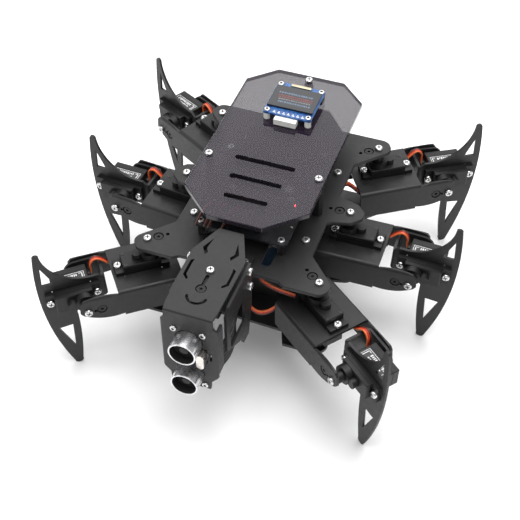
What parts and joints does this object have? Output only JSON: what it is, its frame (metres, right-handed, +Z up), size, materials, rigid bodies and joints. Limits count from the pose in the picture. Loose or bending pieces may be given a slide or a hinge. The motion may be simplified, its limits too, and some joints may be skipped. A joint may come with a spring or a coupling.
{
  "type": "hexapod walking robot",
  "caption": "Six-legged walking robot with sheet-metal body plates, two-servo legs ending in claw feet, a smoked cover with a small display, and a panning sonar head.",
  "frame": {"origin": "on the floor, at the centre of the standing robot's footprint box", "axes": "+Z up, -Y the way the head looks, +X the robot's left-hand side seen from the head, the viewer's right"},
  "size_m": [0.2417, 0.241, 0.1258],
  "materials": {
    "powder_coat": "satin black powder coat",
    "servo_plastic": "matt moulded black",
    "screw_steel": "bright plated",
    "pillar_metal": "machined",
    "smoked_acrylic": "polished, smoke tint",
    "board": "black solder mask",
    "display": "blue board, dark glass",
    "lead_jacket": "orange silicone",
    "black_jacket": "black vinyl",
    "sonar_metal": "bright aluminium cans on a board",
    "battery_case": "black moulded holder"
  },
  "bodies": {
    "body": {"upper_plate": "powder_coat", "lower_plate": "powder_coat", "hip_pivot_posts": "servo_plastic", "hip_horns": "servo_plastic", "standoffs": "pillar_metal", "body_screws": "screw_steel", "control_board": "board", "battery_pack": "battery_case", "cover_plate": "smoked_acrylic", "display_module": "display", "neck_bracket": "powder_coat", "head_servo": "servo_plastic", "hip_leads": "lead_jacket", "head_leads": "black_jacket"},
    "head": {"head_shell": "powder_coat", "sonar_module": "sonar_metal", "head_horn": "servo_plastic", "head_screws": "screw_steel"},
    "right_front_hip": {"right_front_hip_bracket": "powder_coat", "right_front_hip_servo": "servo_plastic", "right_front_hip_screws": "screw_steel", "right_front_knee_horn": "servo_plastic"},
    "right_front_claw": {"right_front_claw_bracket": "powder_coat", "right_front_knee_servo": "servo_plastic", "right_front_knee_lead": "lead_jacket"},
    "right_middle_hip": {"right_middle_hip_bracket": "powder_coat", "right_middle_hip_servo": "servo_plastic", "right_middle_hip_screws": "screw_steel", "right_middle_knee_horn": "servo_plastic"},
    "right_middle_claw": {"right_middle_claw_bracket": "powder_coat", "right_middle_knee_servo": "servo_plastic", "right_middle_knee_lead": "lead_jacket"},
    "right_rear_hip": {"right_rear_hip_bracket": "powder_coat", "right_rear_hip_servo": "servo_plastic", "right_rear_hip_screws": "screw_steel", "right_rear_knee_horn": "servo_plastic"},
    "right_rear_claw": {"right_rear_claw_bracket": "powder_coat", "right_rear_knee_servo": "servo_plastic", "right_rear_knee_lead": "lead_jacket"},
    "left_front_hip": {"left_front_hip_bracket": "powder_coat", "left_front_hip_servo": "servo_plastic", "left_front_hip_screws": "screw_steel", "left_front_knee_horn": "servo_plastic"},
    "left_front_claw": {"left_front_claw_bracket": "powder_coat", "left_front_knee_servo": "servo_plastic", "left_front_knee_lead": "lead_jacket"},
    "left_middle_hip": {"left_middle_hip_bracket": "powder_coat", "left_middle_hip_servo": "servo_plastic", "left_middle_hip_screws": "screw_steel", "left_middle_knee_horn": "servo_plastic"},
    "left_middle_claw": {"left_middle_claw_bracket": "powder_coat", "left_middle_knee_servo": "servo_plastic", "left_middle_knee_lead": "lead_jacket"},
    "left_rear_hip": {"left_rear_hip_bracket": "powder_coat", "left_rear_hip_servo": "servo_plastic", "left_rear_hip_screws": "screw_steel", "left_rear_knee_horn": "servo_plastic"},
    "left_rear_claw": {"left_rear_claw_bracket": "powder_coat", "left_rear_knee_servo": "servo_plastic", "left_rear_knee_lead": "lead_jacket"}
  },
  "joints": [
    {"name": "head_pan", "type": "hinge", "parent": "body", "child": "head", "pos_m": [0, -0.0764, 0.11173], "axis": [0, 0, 1], "range_deg": [-30, 30], "deforming": ["head_leads"]},
    {"name": "right_front_hip_swing", "type": "hinge", "parent": "body", "child": "right_front_hip", "pos_m": [0.0524, -0.0454, 0.07253], "axis": [0, 0, 1], "range_deg": [-25, 25], "deforming": ["hip_leads"]},
    {"name": "right_front_knee_lift", "type": "hinge", "parent": "right_front_hip", "child": "right_front_claw", "pos_m": [0.08581, -0.0715, 0.06253], "axis": [-0.6157, -0.788, 0], "range_deg": [-35, 45], "deforming": ["right_front_knee_lead"]},
    {"name": "right_middle_hip_swing", "type": "hinge", "parent": "body", "child": "right_middle_hip", "pos_m": [0.0524, 0.0148, 0.07253], "axis": [0, 0, 1], "range_deg": [-25, 25], "deforming": ["hip_leads"]},
    {"name": "right_middle_knee_lift", "type": "hinge", "parent": "right_middle_hip", "child": "right_middle_claw", "pos_m": [0.09479, 0.01554, 0.06253], "axis": [0.0175, -0.9998, 0], "range_deg": [-35, 45], "deforming": ["right_middle_knee_lead"]},
    {"name": "right_rear_hip_swing", "type": "hinge", "parent": "body", "child": "right_rear_hip", "pos_m": [0.0524, 0.0758, 0.07253], "axis": [0, 0, 1], "range_deg": [-25, 25], "deforming": ["hip_leads"]},
    {"name": "right_rear_knee_lift", "type": "hinge", "parent": "right_rear_hip", "child": "right_rear_claw", "pos_m": [0.08776, 0.0992, 0.06253], "axis": [0.5519, -0.8339, 0], "range_deg": [-35, 45], "deforming": ["right_rear_knee_lead"]},
    {"name": "left_front_hip_swing", "type": "hinge", "parent": "body", "child": "left_front_hip", "pos_m": [-0.0524, -0.0454, 0.07253], "axis": [0, 0, -1], "range_deg": [-25, 25], "deforming": ["hip_leads"]},
    {"name": "left_front_knee_lift", "type": "hinge", "parent": "left_front_hip", "child": "left_front_claw", "pos_m": [-0.08581, -0.0715, 0.06253], "axis": [-0.6157, 0.788, 0], "range_deg": [-35, 45], "deforming": ["left_front_knee_lead"]},
    {"name": "left_middle_hip_swing", "type": "hinge", "parent": "body", "child": "left_middle_hip", "pos_m": [-0.0524, 0.0148, 0.07253], "axis": [0, 0, -1], "range_deg": [-25, 25], "deforming": ["hip_leads"]},
    {"name": "left_middle_knee_lift", "type": "hinge", "parent": "left_middle_hip", "child": "left_middle_claw", "pos_m": [-0.09464, 0.0185, 0.06253], "axis": [0.0872, 0.9962, 0], "range_deg": [-35, 45], "deforming": ["left_middle_knee_lead"]},
    {"name": "left_rear_hip_swing", "type": "hinge", "parent": "body", "child": "left_rear_hip", "pos_m": [-0.0524, 0.0758, 0.07253], "axis": [0, 0, -1], "range_deg": [-25, 25], "deforming": ["hip_leads"]},
    {"name": "left_rear_knee_lift", "type": "hinge", "parent": "left_rear_hip", "child": "left_rear_claw", "pos_m": [-0.08948, 0.09636, 0.06253], "axis": [0.4848, 0.8746, 0], "range_deg": [-35, 45], "deforming": ["left_rear_knee_lead"]}
  ]
}
